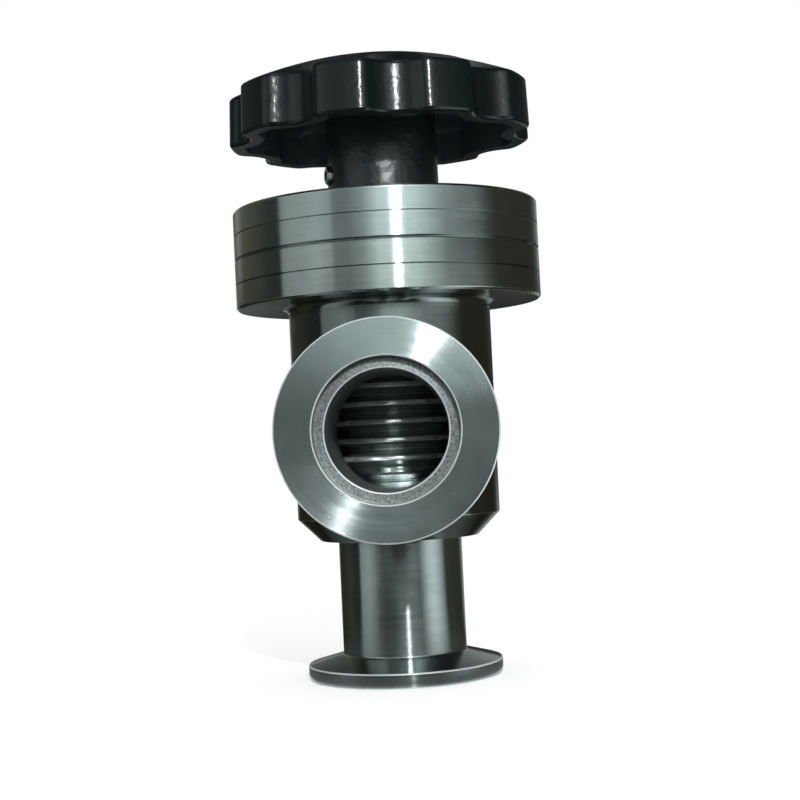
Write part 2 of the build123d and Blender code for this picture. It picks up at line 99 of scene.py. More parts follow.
def softSection(corners, plainRound):
    # Rounds every corner of a closed half section, listed with the solid at its left. A corner
    # is (radius, height), then its own round and the finish of the wall after it, where they
    # aren't the plain ones. The result is a list of (radius, height, normal, finish). Rounded
    # outward edges get finish 1, the broken edges with their painted highlight; crisp ones don't.
    arcStep = 24        # degrees
    mostOfWall = 0.47   # share of a wall that one round may take
    flat = [Vector(corner[:2]) for corner in corners]
    section = []
    for i, corner in enumerate(corners):
        before, here, after = flat[i - 1], flat[i], flat[(i + 1) % len(flat)]
        into = (here - before).normalized()
        out = (after - here).normalized()
        normalIn = Vector((into.y, -into.x))
        normalOut = Vector((out.y, -out.x))
        turn = normalIn.angle(normalOut)
        wanted = corner[2] if len(corner) > 2 and corner[2] is not None else plainRound
        room = mostOfWall * min((here - before).length, (after - here).length)
        reach = min(wanted * math.tan(turn / 2), room)
        radius = reach / math.tan(turn / 2)
        outward = 1 if into.x * out.y - into.y * out.x > 0 else -1
        finish = corner[3] if len(corner) > 3 else 0
        edgeFinish = 1 if outward > 0 and wanted > crisp else finish
        start = here - into * reach
        centre = start - normalIn * radius * outward
        steps = max(2, math.ceil(math.degrees(turn) / arcStep))
        for k in range(steps + 1):
            fromIn, fromOut = math.sin(turn * (1 - k / steps)), math.sin(turn * k / steps)
            normal = (normalIn * fromIn + normalOut * fromOut).normalized()
            point = centre + normal * radius * outward
            section.append((point.x, point.y, normal, edgeFinish if k < steps else finish))
    return section


def turnedPiece(name, corners, plainRound, turns=256, place=Matrix.Identity(4), reshape=None):
    # Turns a closed half section round its own Z, then sets it in place.
    section = softSection(corners, plainRound)
    facing = place.to_3x3()
    points, normals, finishes = [], [], []
    for radius, height, normal, finish in section:
        for k in range(turns):
            angle = 2 * math.pi * k / turns
            points.append(place @ around(radius, angle, height))
            normals.append((facing @ around(normal.x, angle, normal.y)).normalized())
            finishes.append(finish)
    if reshape:
        points = [reshape(point) for point in points]
    piece = makePiece(name, points, ringFaces(len(section), turns, closed=True))
    piece.data.polygons.foreach_set("material_index", finishes)
    piece.data.normals_split_custom_set_from_vertices(normals)
    return piece


def roundCutter(place, radius, start, end, sides=48):
    # A closed cylinder along its place's Z, from start to end, as points and faces.
    angles = [2 * math.pi * (k + 0.5) / sides for k in range(sides)]
    points = [place @ around(radius, angle, along) for along in (start, end) for angle in angles]
    faces = [tuple(reversed(range(sides))), tuple(range(sides, 2 * sides))]
    return points, faces + ringFaces(2, sides)


def cutPiece(piece, cutters):
    points, faces = [], []
    for cutterPoints, cutterFaces in cutters:
        faces += [tuple(len(points) + k for k in face) for face in cutterFaces]
        points += cutterPoints
    tool = makePiece("cuttingTool", points, faces)
    modifier = piece.modifiers.new("cut", "BOOLEAN")
    modifier.object = tool
    modifier.operation = "DIFFERENCE"
    modifier.solver = "EXACT"
    evaluated = piece.evaluated_get(bpy.context.evaluated_depsgraph_get())
    cut = bpy.data.meshes.new_from_object(evaluated)
    piece.modifiers.clear()
    piece.data = cut
    bpy.data.objects.remove(tool)


def turnedNormals(piece, corners, plainRound):
    # Gives a cut turned piece the smooth normals of its half section again.
    nearEnough = 0.02 * mm      # distance from the turned surface
    alikeEnough = 0.4           # cosine between the smooth normal and the face's own
    section = softSection(corners, plainRound)
    start = numpy.array([(radius, height) for radius, height, normal, finish in section])
    bend = numpy.array([tuple(normal) for radius, height, normal, finish in section])
    step = numpy.roll(start, -1, axis=0) - start
    mesh = piece.data
    points = numpy.empty(len(mesh.vertices) * 3)
    mesh.vertices.foreach_get("co", points)
    points = points.reshape(-1, 3)
    radius = numpy.hypot(points[:, 0], points[:, 1])
    flat = numpy.stack([radius, points[:, 2]], axis=1)
    along = ((flat[:, None, :] - start[None]) * step[None]).sum(axis=2) / (step ** 2).sum(axis=1)
    along = numpy.clip(along, 0, 1)
    miss = flat[:, None, :] - (start[None] + along[:, :, None] * step[None])
    miss = (miss ** 2).sum(axis=2)
    best = miss.argmin(axis=1)
    rows = numpy.arange(len(flat))
    share = along[rows, best][:, None]
    lean = bend[best] * (1 - share) + numpy.roll(bend, -1, axis=0)[best] * share
    normals = numpy.column_stack([lean[:, :1] * points[:, :2] / radius[:, None], lean[:, 1]])
    normals /= numpy.linalg.norm(normals, axis=1)[:, None]
    onPiece = numpy.sqrt(miss[rows, best]) < nearEnough
    custom = []
    for face in mesh.polygons:
        facing = numpy.array(face.normal)
        for vertex in face.vertices:
            smooth = onPiece[vertex] and facing @ normals[vertex] > alikeEnough
            custom.append(tuple(normals[vertex] if smooth else facing))
    mesh.normals_split_custom_set(custom)


def mergeDoubles(piece):
    # Joins points that lie on each other, so that no face is left without an area.
    bm = bmesh.new()
    bm.from_mesh(piece.data)
    bmesh.ops.remove_doubles(bm, verts=bm.verts, dist=1e-7)
    bm.to_mesh(piece.data)
    bm.free()


def evenNormals(piece, sharpAngle):
    piece.data.set_sharp_from_angle(angle=math.radians(sharpAngle))
    modifier = piece.modifiers.new("evenNormals", "WEIGHTED_NORMAL")
    modifier.keep_sharp = True


# Node tools

def newMaterial(name):
    material = bpy.data.materials.new(name)
    material.use_nodes = True
    tree = material.node_tree
    return material, tree, tree.nodes["Principled BSDF"]


def bareMaterial(name):
    # A material without its shader, with the socket that takes the surface.
    material, tree, shader = newMaterial(name)
    tree.nodes.remove(shader)
    return material, tree, tree.nodes["Material Output"].inputs["Surface"]


def addNode(tree, kind, **settings):
    node = tree.nodes.new(kind)
    for key, value in settings.items():
        setattr(node, key, value)
    return node


def join(tree, source, target):
    tree.links.new(source, target)


def mathNode(tree, operation, *values):
    node = addNode(tree, "ShaderNodeMath", operation=operation)
    for socket, value in zip(node.inputs, values):
        if isinstance(value, (int, float)):
            socket.default_value = value
        else:
            join(tree, value, socket)
    return node.outputs[0]


def spread(tree, source, lowIn, highIn, lowOut, highOut, eased=False):
    # Maps one span onto another, and stays level beyond its ends.
    node = addNode(tree, "ShaderNodeMapRange")
    node.interpolation_type = "SMOOTHSTEP" if eased else "LINEAR"
    join(tree, source, node.inputs["Value"])
    ends = {"From Min": lowIn, "From Max": highIn, "To Min": lowOut, "To Max": highOut}
    for socket, value in ends.items():
        node.inputs[socket].default_value = value
    return node.outputs["Result"]


def objectSpot(tree):
    return addNode(tree, "ShaderNodeTexCoord").outputs["Object"]


def fromCentre(tree, spot, centre):
    moved = addNode(tree, "ShaderNodeVectorMath", operation="SUBTRACT")
    join(tree, spot, moved.inputs[0])
    moved.inputs[1].default_value = centre
    return moved.outputs[0]


def splitVector(tree, vector):
    node = addNode(tree, "ShaderNodeSeparateXYZ")
    join(tree, vector, node.inputs[0])
    return node.outputs


def noise(tree, vector, scale, detail=2, roughness=0.5):
    node = addNode(tree, "ShaderNodeTexNoise")
    join(tree, vector, node.inputs["Vector"])
    for socket, value in {"Scale": scale, "Detail": detail, "Roughness": roughness}.items():
        node.inputs[socket].default_value = value
    return node.outputs["Fac"]


def blend(tree, amount, first, second):
    # Two colours, each a tuple or another node's output.
    node = addNode(tree, "ShaderNodeMix", data_type="RGBA")
    join(tree, amount, node.inputs["Factor"])
    for socket, colour in {"A": first, "B": second}.items():
        if isinstance(colour, tuple):
            node.inputs[socket].default_value = (*colour, 1)
        else:
            join(tree, colour, node.inputs[socket])
    return node.outputs["Result"]


def addBump(tree, shader, height, depth, strength=1):
    bump = addNode(tree, "ShaderNodeBump")
    bump.inputs["Strength"].default_value = strength
    bump.inputs["Distance"].default_value = depth * mm
    join(tree, height, bump.inputs["Height"])
    join(tree, bump.outputs[0], shader.inputs["Normal"])


# Turned steel: rings cut round an axis, scratches, pits and smudges

marks = {
    "ringTurns": 3, "bandTurns": 0.6, "scratchTurns": 14, "scratchWidth": 1.7,
    "scratchRough": 0.08, "scratchDepth": 0.5, "smudgeShade": 0.7, "grainTurn": 0.25,
    # spans of the noise in which each mark comes up
    "scratches": (0.70, 0.76), "pits": (0.71, 0.78), "smudges": (0.32, 0.68), "bands": (0.3, 0.7),
    "smears": (0.3, 1),
}


def turnedSteel(name, look, axis="Z", centre=(0, 0, 0)):
    material, tree, shader = newMaterial(name)
    spot = objectSpot(tree)
    sides = splitVector(tree, fromCentre(tree, spot, centre))
    along = sides[axis]
    across, over = (sides[side] for side in "XYZ" if side != axis)
    squares = [mathNode(tree, "MULTIPLY", side, side) for side in (across, over)]
    radius = mathNode(tree, "SQRT", mathNode(tree, "ADD", *squares))
    angle = mathNode(tree, "ARCTAN2", over, across)

    def ringNoise(step, turns, **kind):
        perMetre = 1 / (step * mm)
        vector = addNode(tree, "ShaderNodeCombineXYZ")
        scaled = ((radius, perMetre), (along, perMetre), (angle, turns))
        for socket, (value, scale) in zip(vector.inputs, scaled):
            join(tree, mathNode(tree, "MULTIPLY", value, scale), socket)
        return noise(tree, vector.outputs[0], 1, **kind)

    scratchStep = look["ringStep"] * marks["scratchWidth"]
    rings = ringNoise(look["ringStep"], marks["ringTurns"], detail=3, roughness=0.6)
    bands = ringNoise(look["bandStep"], marks["bandTurns"])
    strokes = ringNoise(scratchStep, marks["scratchTurns"], detail=1)
    dots = noise(tree, spot, look["pitScale"], detail=1)
    clouds = noise(tree, spot, look["smudgeScale"], detail=3, roughness=0.6)
    frost = noise(tree, spot, look["frostScale"], roughness=0.6)
    scratches = spread(tree, strokes, *marks["scratches"], 0, 1)
    pits = spread(tree, dots, *marks["pits"], 0, 1)
    smudges = spread(tree, clouds, *marks["smudges"], 0, 1)

    shader.inputs["Metallic"].default_value = look["metal"]
    shader.inputs["Anisotropic"].default_value = look["anisotropy"]
    shader.inputs["Anisotropic Rotation"].default_value = marks["grainTurn"]
    tangent = addNode(tree, "ShaderNodeTangent", direction_type="RADIAL", axis=axis)
    join(tree, tangent.outputs[0], shader.inputs["Tangent"])

    shade = smudges
    # painted shade: the tone falls from the light colour on the crests to the dark one in the roots
    # of the folds
    if "paintedShadeSpan" in look:
        # folds darken towards their roots
        start, end = (place * mm for place in look["paintedShadeSpan"])
        paintedRootShade = spread(tree, radius, start, end, 0, 1)
        soiled = spread(tree, smudges, 0, 1, marks["smudgeShade"], 1)
        shade = mathNode(tree, "MULTIPLY", paintedRootShade, soiled)
    join(tree, blend(tree, shade, look["dark"], look["light"]), shader.inputs["Base Color"])

    banded = spread(tree, bands, *marks["bands"], look["smooth"], look["rough"])
    smeared = spread(tree, smudges, *marks["smears"], 0, look["smudge"])
    rough = mathNode(tree, "ADD", banded, smeared)
    scratched = mathNode(tree, "MULTIPLY", scratches, marks["scratchRough"])
    join(tree, mathNode(tree, "ADD", rough, scratched), shader.inputs["Roughness"])

    height = rings
    for operation, mark, depth in (("SUBTRACT", scratches, marks["scratchDepth"]),
                                   ("SUBTRACT", pits, look["pitDepth"]),
                                   ("ADD", frost, look["frost"])):
        height = mathNode(tree, operation, height, mathNode(tree, "MULTIPLY", mark, depth))
    addBump(tree, shader, height, look["bumpDepth"], look["bump"])
    return material


flangeSteel = {
    "dark": (0.48, 0.555, 0.555), "light": (0.60, 0.68, 0.68), "metal": 1.0,
    "smooth": 0.16, "rough": 0.19, "smudge": 0.025, "anisotropy": 1.0,
    "ringStep": 0.16, "bandStep": 0.9, "pitScale": 2600, "pitDepth": 0.8, "smudgeScale": 90,
    "frostScale": 4200, "frost": 0.5, "bump": 0.35, "bumpDepth": 0.012,
}
bodySteel = dict(flangeSteel, dark=(0.42, 0.48, 0.47), light=(0.54, 0.60, 0.59), frost=0.8,
                 smooth=0.10, rough=0.15)
# painted shade: a darker copy of the body's steel for the ports' rims
rimShadedSteel = dict(bodySteel, dark=(0.34, 0.39, 0.38), light=(0.48, 0.54, 0.53))
# painted shade: a darker copy of the body's steel for its walls below the flange, the flange's
# underside, the rim's line and the slot
wallShadedSteel = dict(bodySteel, dark=(0.22, 0.26, 0.25), light=(0.36, 0.41, 0.40))
# painted highlight: the broken edges get a lighter base than the faces, and the ports' edges a
# mostly matte one, so that they show as bright lines; their rougher, even grain is the real broken
# edge
deburredEdgeHighlight = dict(flangeSteel, dark=(0.58, 0.65, 0.65), light=(0.80, 0.87, 0.87), anisotropy=0.0,
                    smooth=0.2, rough=0.3)
portEdgeHighlight = dict(flangeSteel, dark=(0.62, 0.69, 0.69), light=(0.86, 0.93, 0.93), metal=0.35,
                 anisotropy=0.0, smooth=0.30, rough=0.42)
blastedSteel = dict(flangeSteel, dark=(0.13, 0.15, 0.145), light=(0.40, 0.44, 0.44),
                    anisotropy=0.3, smooth=0.34, rough=0.46, smudgeScale=2600, pitDepth=1.6,
                    frostScale=3000, frost=2.4)
shadedSteel = dict(flangeSteel, dark=(0.16, 0.19, 0.18), light=(0.34, 0.38, 0.37), metal=0.8,
                   anisotropy=0.3, smooth=0.34, rough=0.46)
# painted light: a pale, mostly matte copy of the steel that lights up the shaded chamber walls
# inside the body
chamberLitSteel = dict(flangeSteel, dark=(0.66, 0.72, 0.70), light=(0.80, 0.86, 0.84), metal=0.15,
                    anisotropy=0.3, smooth=0.40, rough=0.52)
innerSteel = dict(flangeSteel, smooth=0.2, rough=0.3, anisotropy=0.6)
# light is the crests' colour, pale and partly matte so that it paints light on them, and dark is
# the painted shade in the roots of the folds
bellowsSteel = {
    "dark": (0.50, 0.56, 0.54), "light": (1.0, 1.0, 1.0), "metal": 0.75, "paintedShadeSpan": (14.2, 14.9),
    "smooth": 0.10, "rough": 0.16, "smudge": 0.08, "anisotropy": 0.5,
    "ringStep": 0.45, "bandStep": 1.4, "pitScale": 1800, "pitDepth": 0.4, "smudgeScale": 160,
    "frostScale": 900, "frost": 1.2, "bump": 0.45, "bumpDepth": 0.045,
}
fastenerSteel = dict(flangeSteel, dark=(0.42, 0.43, 0.43), light=(0.55, 0.56, 0.56), rough=0.34,
                     anisotropy=0.2)
bronzeLook = dict(innerSteel, dark=(0.50, 0.31, 0.15), light=(0.66, 0.44, 0.24))
brassLook = dict(innerSteel, dark=(0.62, 0.46, 0.20), light=(0.78, 0.62, 0.33))


# Glossy black moulding, and black rubber

wheelGloss = {
    "dark": (0.0025, 0.0068, 0.0070), "light": (0.0055, 0.0110, 0.0112), "specular": 0.55,
    "smooth": 0.16, "rough": 0.215, "cloudScale": 120, "clouds": (0.35, 0.7),
    "peelScale": 800, "peelDepth": 0.05, "grainScale": 3000, "grain": 0.4,
}
hubGloss = dict(wheelGloss, dark=(0.005, 0.0115, 0.0115), light=(0.009, 0.0165, 0.0165),
                specular=0.8, smooth=0.18, rough=0.27, peelScale=420, peelDepth=0.18)
# painted light: the hollow under the wheel is lighter than the outside, standing in for light in
# its shade; its matt roughness is real
hollowMattPaintedLight = dict(hubGloss, dark=(0.028, 0.043, 0.043), light=(0.036, 0.053, 0.053),
                  smooth=0.42, rough=0.5)
rubberLook = {
    "dark": (0.018, 0.018, 0.018), "light": (0.035, 0.035, 0.034), "smooth": 0.45, "rough": 0.62,
    "bloomScale": 700, "bloom": (0.3, 0.7),
}


def blackMoulding(name, look):
    material, tree, shader = newMaterial(name)
    spot = objectSpot(tree)
    cloud = noise(tree, spot, look["cloudScale"], detail=4, roughness=0.6)
    peel = noise(tree, spot, look["peelScale"])
    grain = mathNode(tree, "MULTIPLY", noise(tree, spot, look["grainScale"]), look["grain"])
    rough = spread(tree, cloud, *look["clouds"], look["smooth"], look["rough"])
    join(tree, blend(tree, cloud, look["dark"], look["light"]), shader.inputs["Base Color"])
    join(tree, rough, shader.inputs["Roughness"])
    shader.inputs["Specular IOR Level"].default_value = look["specular"]
    addBump(tree, shader, mathNode(tree, "ADD", peel, grain), look["peelDepth"])
    return material


def blackRubber(name, look):
    material, tree, shader = newMaterial(name)
    bloom = noise(tree, objectSpot(tree), look["bloomScale"], detail=3)
    rough = spread(tree, bloom, *look["bloom"], look["smooth"], look["rough"])
    join(tree, blend(tree, bloom, look["dark"], look["light"]), shader.inputs["Base Color"])
    join(tree, rough, shader.inputs["Roughness"])
    return material


materials = {
    "body_steel": turnedSteel("bodySteel", bodySteel),
    "bonnet_steel": turnedSteel("bonnetSteel", flangeSteel),
    "port_steel": turnedSteel("lowerPortSteel", flangeSteel),
    "inner_steel": turnedSteel("innerSteel", innerSteel),
    "bellows_steel": turnedSteel("bellowsSteel", bellowsSteel),
    "fastener_steel": turnedSteel("fastenerSteel", fastenerSteel),
    "nut_bronze": turnedSteel("nutBronze", bronzeLook),
    "insert_brass": turnedSteel("insertBrass", brassLook),
    "wheel_plastic": blackMoulding("wheelGloss", wheelGloss),
    "seal_rubber": blackRubber("sealRubber", rubberLook),
    "edges": turnedSteel("brokenEdgesHighlight", deburredEdgeHighlight),
    "wall": turnedSteel("bodyWallShaded", wallShadedSteel),
    "chamber": turnedSteel("chamberWallLit", chamberLitSteel),
}
for part in frame["record"]["subparts"]:
    node = nodes[part["node"]]
    node.data.materials.clear()
    node.data.materials.append(materials[part["material_slot"]])
print("materials made:", len(materials))


# Ports: flanged stubs with a recess for the centring ring

port = {
    "tubeRadius": 12.7, "boreRadius": 11.05, "recessRadius": 13.1, "recessDepth": 2.6,
    "recessEdge": 0.2, "rim": 3.0, "rimRound": 0.3, "cone": 15.0, "coneRound": 0.5, "edge": 0.2,
    "edgeRound": 0.1, "lipRound": 0.25, "chamberRadius": 18.0,
    "plainLength": 20.0,    # of the side port, beyond which its end follows the chamber
}
turned, edgeHighlight, blasted, shaded, shadedRim = range(5)        # finishes of a port's walls: turned, broken edges with a painted highlight, blasted, painted shade in the bore and recess, and painted shade on the rim


def sideways(height, degrees, away=0):
    # A place that lies down along Y, away from the stem's axis.
    return Matrix.Translation((0, away, height)) @ Matrix.Rotation(math.radians(degrees), 4, "X")


def portSection(flangeRadius, length):
    rim = port["rim"] * mm
    tube = port["tubeRadius"] * mm
    bore = port["boreRadius"] * mm
    recess = port["recessRadius"] * mm
    depth = port["recessDepth"] * mm
    edge = port["edge"] * mm
    lead = port["recessEdge"] * mm
    coneTop = rim + (flangeRadius - tube) * math.tan(math.radians(port["cone"]))
    return [
        (recess + lead, 0, None, turned),
        (flangeRadius - edge, 0, None, edgeHighlight),
        (flangeRadius, edge, None, shadedRim),
        (flangeRadius, rim, port["rimRound"] * mm, shadedRim),
        (tube, coneTop, port["coneRound"] * mm, turned),
        (tube, length, None, turned),
        (bore, length, None, shaded),
        (bore, depth, port["lipRound"] * mm, blasted),
        (recess, depth, None, shaded),
        (recess, lead, None, edgeHighlight),
    ]


def portFinishes(name, axis="Z", centre=(0, 0, 0)):
    looks = {"Turned": flangeSteel, "Edge": portEdgeHighlight, "Blasted": blastedSteel,
             "Shaded": shadedSteel, "Rim": rimShadedSteel}
    return [turnedSteel(name + kind, look, axis, centre) for kind, look in looks.items()]


def makePorts():
    edgeRound = port["edgeRound"] * mm
    low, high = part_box("lower_port")
    lower = turnedPiece("lowerPort", portSection(high.x, high.z - low.z), edgeRound)
    dress(lower, portFinishes("lowerPort"), "valve", "lower_port")

    low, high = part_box("side_port")
    middle = (low.z + high.z) / 2
    chamber = port["chamberRadius"] * mm

    def meetChamber(point):
        if point.y < low.y + port["plainLength"] * mm:
            return point
        return Vector((point.x, -math.sqrt(chamber ** 2 - point.x ** 2), point.z))

    side = turnedPiece("sidePort", portSection((high.z - low.z) / 2, high.y - low.y), edgeRound,
                       place=sideways(middle, -90, low.y), reshape=meetChamber)
    finishes = portFinishes("sidePort", "Y", (0, 0, middle))
    dress(side, finishes, "valve", "side_port")


makePorts()
print("ports turned")


# Body and bonnet: turned, with broken edges, a line round each rim and a slot where they meet

stack = {
    "plainRound": 0.08, "edge": 0.45, "edgeRound": 0.2, "line": 0.24, "lineDepth": 0.5,
    "slot": 0.66, "slotDepth": 1.2, "screws": 6, "screwCircle": 26.4, "screwHole": 2.05,
    "screwDepth": 8.65, "headHole": 3.75, "headDepth": 4.25, "shankHole": 2.25,
    "beyond": 1.0, "overlap": 0.1,      # how far holes are cut past a face, or into each other
}
body = {
    "radius": 20.85, "chamfer": 4.6, "chamferRound": 0.3, "fillet": 1.5, "flange": 10.05,
    "seat": 5.7, "socket": 3.0, "shelf": 22.0, "plate": 3.05, "ringGroove": (18.9, 21.1),
    "ringGrooveDepth": 1.75, "gap": 0.04, "sideHoleFacets": 128,
}
bonnet = {
    "barrel": 9.225, "bore": 8.065, "flange": 10.1, "nutSeat": 3.7, "nutBore": 10.075,
    "clipTop": 0.4, "clipLow": 1.475, "clipGroove": 10.775, "pinRadius": 0.94,
    "pinPlace": 10.025, "pinLow": 5.5, "keyRadius": 1.24, "keyRise": 2.2, "keySpan": (1.0, 11.0),
}
inside, shadedWall = 2, 3     # finishes after the turned one and the broken edges with their painted highlight; on the body the chamber is painted lighter and the walls carry painted shade


def innerWalls(*spots):
    return [(radius, height, None, inside) for radius, height in spots]


def rimWalls(outer, low, high, inLine):
    # Wall of a rim from low to high, with a line at mid height that has the finish inLine.
    half = stack["line"] / 2 * mm
    depth = stack["lineDepth"] * mm
    middle = (low + high) / 2
    return [
        (outer, middle - half, crisp, inLine),
        (outer - depth, middle - half, crisp, inLine),
        (outer - depth, middle + half, crisp, inLine),
        (outer, middle + half, crisp),
    ]


def bodySection(low, high, outer):
    radius = body["radius"] * mm
    chamber = port["chamberRadius"] * mm
    chamfer = body["chamfer"] * mm
    chamferRound = body["chamferRound"] * mm
    flange = high - body["flange"] * mm
    edge = stack["edge"] * mm
    soft = stack["edgeRound"] * mm
    slot = stack["slot"] / 2 * mm
    slotFloor = outer - stack["slotDepth"] * mm
    plate = high - body["plate"] * mm
    shelf = body["shelf"] * mm
    grooveIn, grooveOut = (side * mm for side in body["ringGroove"])
    grooveLow = plate - body["ringGrooveDepth"] * mm
    seat = low + body["seat"] * mm
    bore = port["boreRadius"] * mm
    socket = (port["tubeRadius"] + body["gap"]) * mm
    socketTop = low + body["socket"] * mm
    return [
        (socket, low, None, shadedWall),
        (radius - chamfer, low, chamferRound, shadedWall),
        (radius, low + chamfer, chamferRound, shadedWall),
        (radius, flange, body["fillet"] * mm, shadedWall),
        (outer - edge, flange, soft),
        (outer, flange + edge, soft),
        *rimWalls(outer, flange, high, shadedWall),
        (outer, high - slot, crisp, shadedWall),
        (slotFloor, high - slot, None, shadedWall),
        *innerWalls((slotFloor, high), (shelf, high), (shelf, plate), (grooveOut, plate),
                    (grooveOut, grooveLow), (grooveIn, grooveLow), (grooveIn, plate),
                    (chamber, plate), (chamber, seat), (bore, seat), (bore, socketTop),
                    (socket, socketTop)),
    ]


def bonnetSection(low, high, outer):
    joint = high - bonnet["flange"] * mm
    barrel = bonnet["barrel"] * mm
    bore = bonnet["bore"] * mm
    edge = stack["edge"] * mm
    soft = stack["edgeRound"] * mm
    slot = stack["slot"] / 2 * mm
    slotFloor = outer - stack["slotDepth"] * mm
    nutSeat = high - bonnet["nutSeat"] * mm
    nutBore = bonnet["nutBore"] * mm
    groove = bonnet["clipGroove"] * mm
    clipTop = high - bonnet["clipTop"] * mm
    clipLow = high - bonnet["clipLow"] * mm
    return [
        (bore, low),
        (barrel, low),
        (barrel, joint),
        *innerWalls((slotFloor, joint), (slotFloor, joint + slot)),
        (outer, joint + slot, crisp),
        *rimWalls(outer, joint, high, inside),
        (outer, high - edge, soft),
        (outer - edge, high, soft),
        *innerWalls((nutBore, high), (nutBore, clipTop), (groove, clipTop), (groove, clipLow),
                    (nutBore, clipLow), (nutBore, nutSeat), (bore, nutSeat)),
    ]


def screwHoles(kind, low, high):
    count = stack["screws"]
    holes = []
    for k in range(count):
        towards = around(1, math.radians((k + 0.5) * 360 / count), 0)
        place = Matrix.Translation(towards * stack["screwCircle"] * mm)
        holes.append(roundCutter(place, stack[kind] * mm, low, high))
    return holes


def makeTurned(node, corners, finishes, cutters):
    plainRound = stack["plainRound"] * mm
    piece = turnedPiece(node + "Turned", corners, plainRound)
    dress(piece, [materials[name] for name in finishes], "valve", node)
    cutPiece(piece, cutters)
    turnedNormals(piece, corners, plainRound)


def makeStack():
    beyond = stack["beyond"] * mm
    low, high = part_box("valve_body")
    outer = high.x
    portLow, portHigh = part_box("side_port")
    towardsPort = sideways((portLow.z + portHigh.z) / 2, 90)
    socket = (port["tubeRadius"] + body["gap"]) * mm
    holes = [roundCutter(towardsPort, socket, 0, outer, body["sideHoleFacets"])]
    holes += screwHoles("screwHole", high.z - stack["screwDepth"] * mm, high.z + beyond)
    makeTurned("valve_body", bodySection(low.z, high.z, outer),
               ("body_steel", "edges", "chamber", "wall"), holes)

    low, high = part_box("bonnet")
    above = high.z + beyond
    headLow = high.z - stack["headDepth"] * mm
    joint = high.z - bonnet["flange"] * mm
    holes = screwHoles("headHole", headLow, above)
    holes += screwHoles("shankHole", joint - beyond, headLow + stack["overlap"] * mm)
    pinPlace = Matrix.Translation((bonnet["pinPlace"] * mm, 0, 0))
    pinLow = high.z - bonnet["pinLow"] * mm
    holes.append(roundCutter(pinPlace, bonnet["pinRadius"] * mm, pinLow, above))
    keyPlace = sideways(low.z + bonnet["keyRise"] * mm, -90)
    keyStart, keyEnd = (end * mm for end in bonnet["keySpan"])
    holes.append(roundCutter(keyPlace, bonnet["keyRadius"] * mm, keyStart, keyEnd))
    makeTurned("bonnet", bonnetSection(low.z, high.z, outer),
               ("bonnet_steel", "edges", "inner_steel"), holes)


makeStack()
print("body and bonnet turned")


# Bellows: a thin tube in rounded folds

folds = {
    "rootRadius": 10.025, "crestRadius": 15.025, "wall": 0.2, "count": 11, "lowerCuff": 1.05,
    "upperCuff": 0.2, "flat": 0.75, "crestRound": 0.35, "rootRound": 0.7, "plainRound": 0.03,
    "crestLean": 0.07, "turns": 160,
}


def foldedWall(low, high, root, crest, shift):
    # One face of the tube's wall, from low to high, with its folds widened by shift.
    start = low + folds["lowerCuff"] * mm
    pitch = (high - folds["upperCuff"] * mm - start) / folds["count"]
    crestHalf = folds["flat"] * mm / 2
    rootHalf = pitch / 2 - crestHalf
    lean = folds["crestLean"] * mm
    crestRound, rootRound = folds["crestRound"] * mm, folds["rootRound"] * mm
    corners = [(root, low)]
    for k in range(folds["count"]):
        middle = start + (k + 0.5) * pitch
        corners += [
            (root, middle - rootHalf - shift, rootRound),
            (crest, middle - crestHalf - shift, crestRound),
            (crest - lean, middle + crestHalf + shift, crestRound),
            (root, middle + rootHalf + shift, rootRound),
        ]
    return corners + [(root, high)]


def makeBellows():
    low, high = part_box("bellows")
    root = folds["rootRadius"] * mm
    crest = folds["crestRadius"] * mm
    wall = folds["wall"] * mm
    outer = foldedWall(low.z, high.z, root + wall, crest, wall / 2)
    inner = foldedWall(low.z, high.z, root, crest - wall, -wall / 2)
    piece = turnedPiece("bellowsTube", outer + inner[::-1], folds["plainRound"] * mm,
                        turns=folds["turns"])
    dress(piece, [materials["bellows_steel"]], "valve", "bellows")
    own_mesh(piece)


makeBellows()
print("bellows folded")


# Spindle: collar, neck, thread winding through the nut, and the plain end held in the wheel

spindle = {
    "head": 5.2, "headHeight": 4.5, "neck": 4.2, "neckEnd": 70.1, "radius": 5.0, "root": 3.5,
    "pitch": 3.0, "threadEnd": 98.1, "end": 4.0, "sharpAngle": 35,
    "flat": 0.36, "flank": 0.14,        # shares of the pitch
    "rowStep": 0.125, "turns": 72,
}


def threadRadius(z, angle):
    flat, flank = spindle["flat"], spindle["flank"]
    phase = (z / (spindle["pitch"] * mm) - angle / (2 * math.pi)) % 1
    if phase < flat:
        share = 1
    elif phase < flat + flank:
        share = 1 - (phase - flat) / flank
    else:
        share = max(0, (phase - 1 + flank) / flank)
    return (spindle["root"] + (spindle["radius"] - spindle["root"]) * share) * mm


def makeSpindle():
    low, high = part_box("spindle")
    head, neck, root, end = (spindle[key] * mm for key in ("head", "neck", "root", "end"))
    collar = low.z + spindle["headHeight"] * mm
    start = spindle["neckEnd"] * mm
    stop = spindle["threadEnd"] * mm
    count = round((stop - start) / (spindle["rowStep"] * mm))
    # rows of (radius, height), where the thread's rows have no radius of their own
    rows = [(0, low.z), (head, low.z), (head, collar), (neck, collar), (neck, start)]
    rows += [(None, start + (stop - start) * k / count) for k in range(count + 1)]
    rows += [(end, stop), (end, high.z), (0, high.z)]
    turns = spindle["turns"]
    points = []
    for radius, z in rows:
        for k in range(turns):
            angle = 2 * math.pi * k / turns
            wide = radius
            if radius is None:
                # the thread runs out into the neck at both ends
                limit = neck + min(z - start, stop - z)
                wide = min(threadRadius(z, angle), max(limit, root))
            points.append(around(wide, angle, z))
    piece = makePiece("threadedSpindle", points, ringFaces(len(rows), turns))
    mergeDoubles(piece)
    evenNormals(piece, spindle["sharpAngle"])
    dress(piece, [materials["inner_steel"]], "wheel", "spindle")


makeSpindle()
print("spindle threaded")


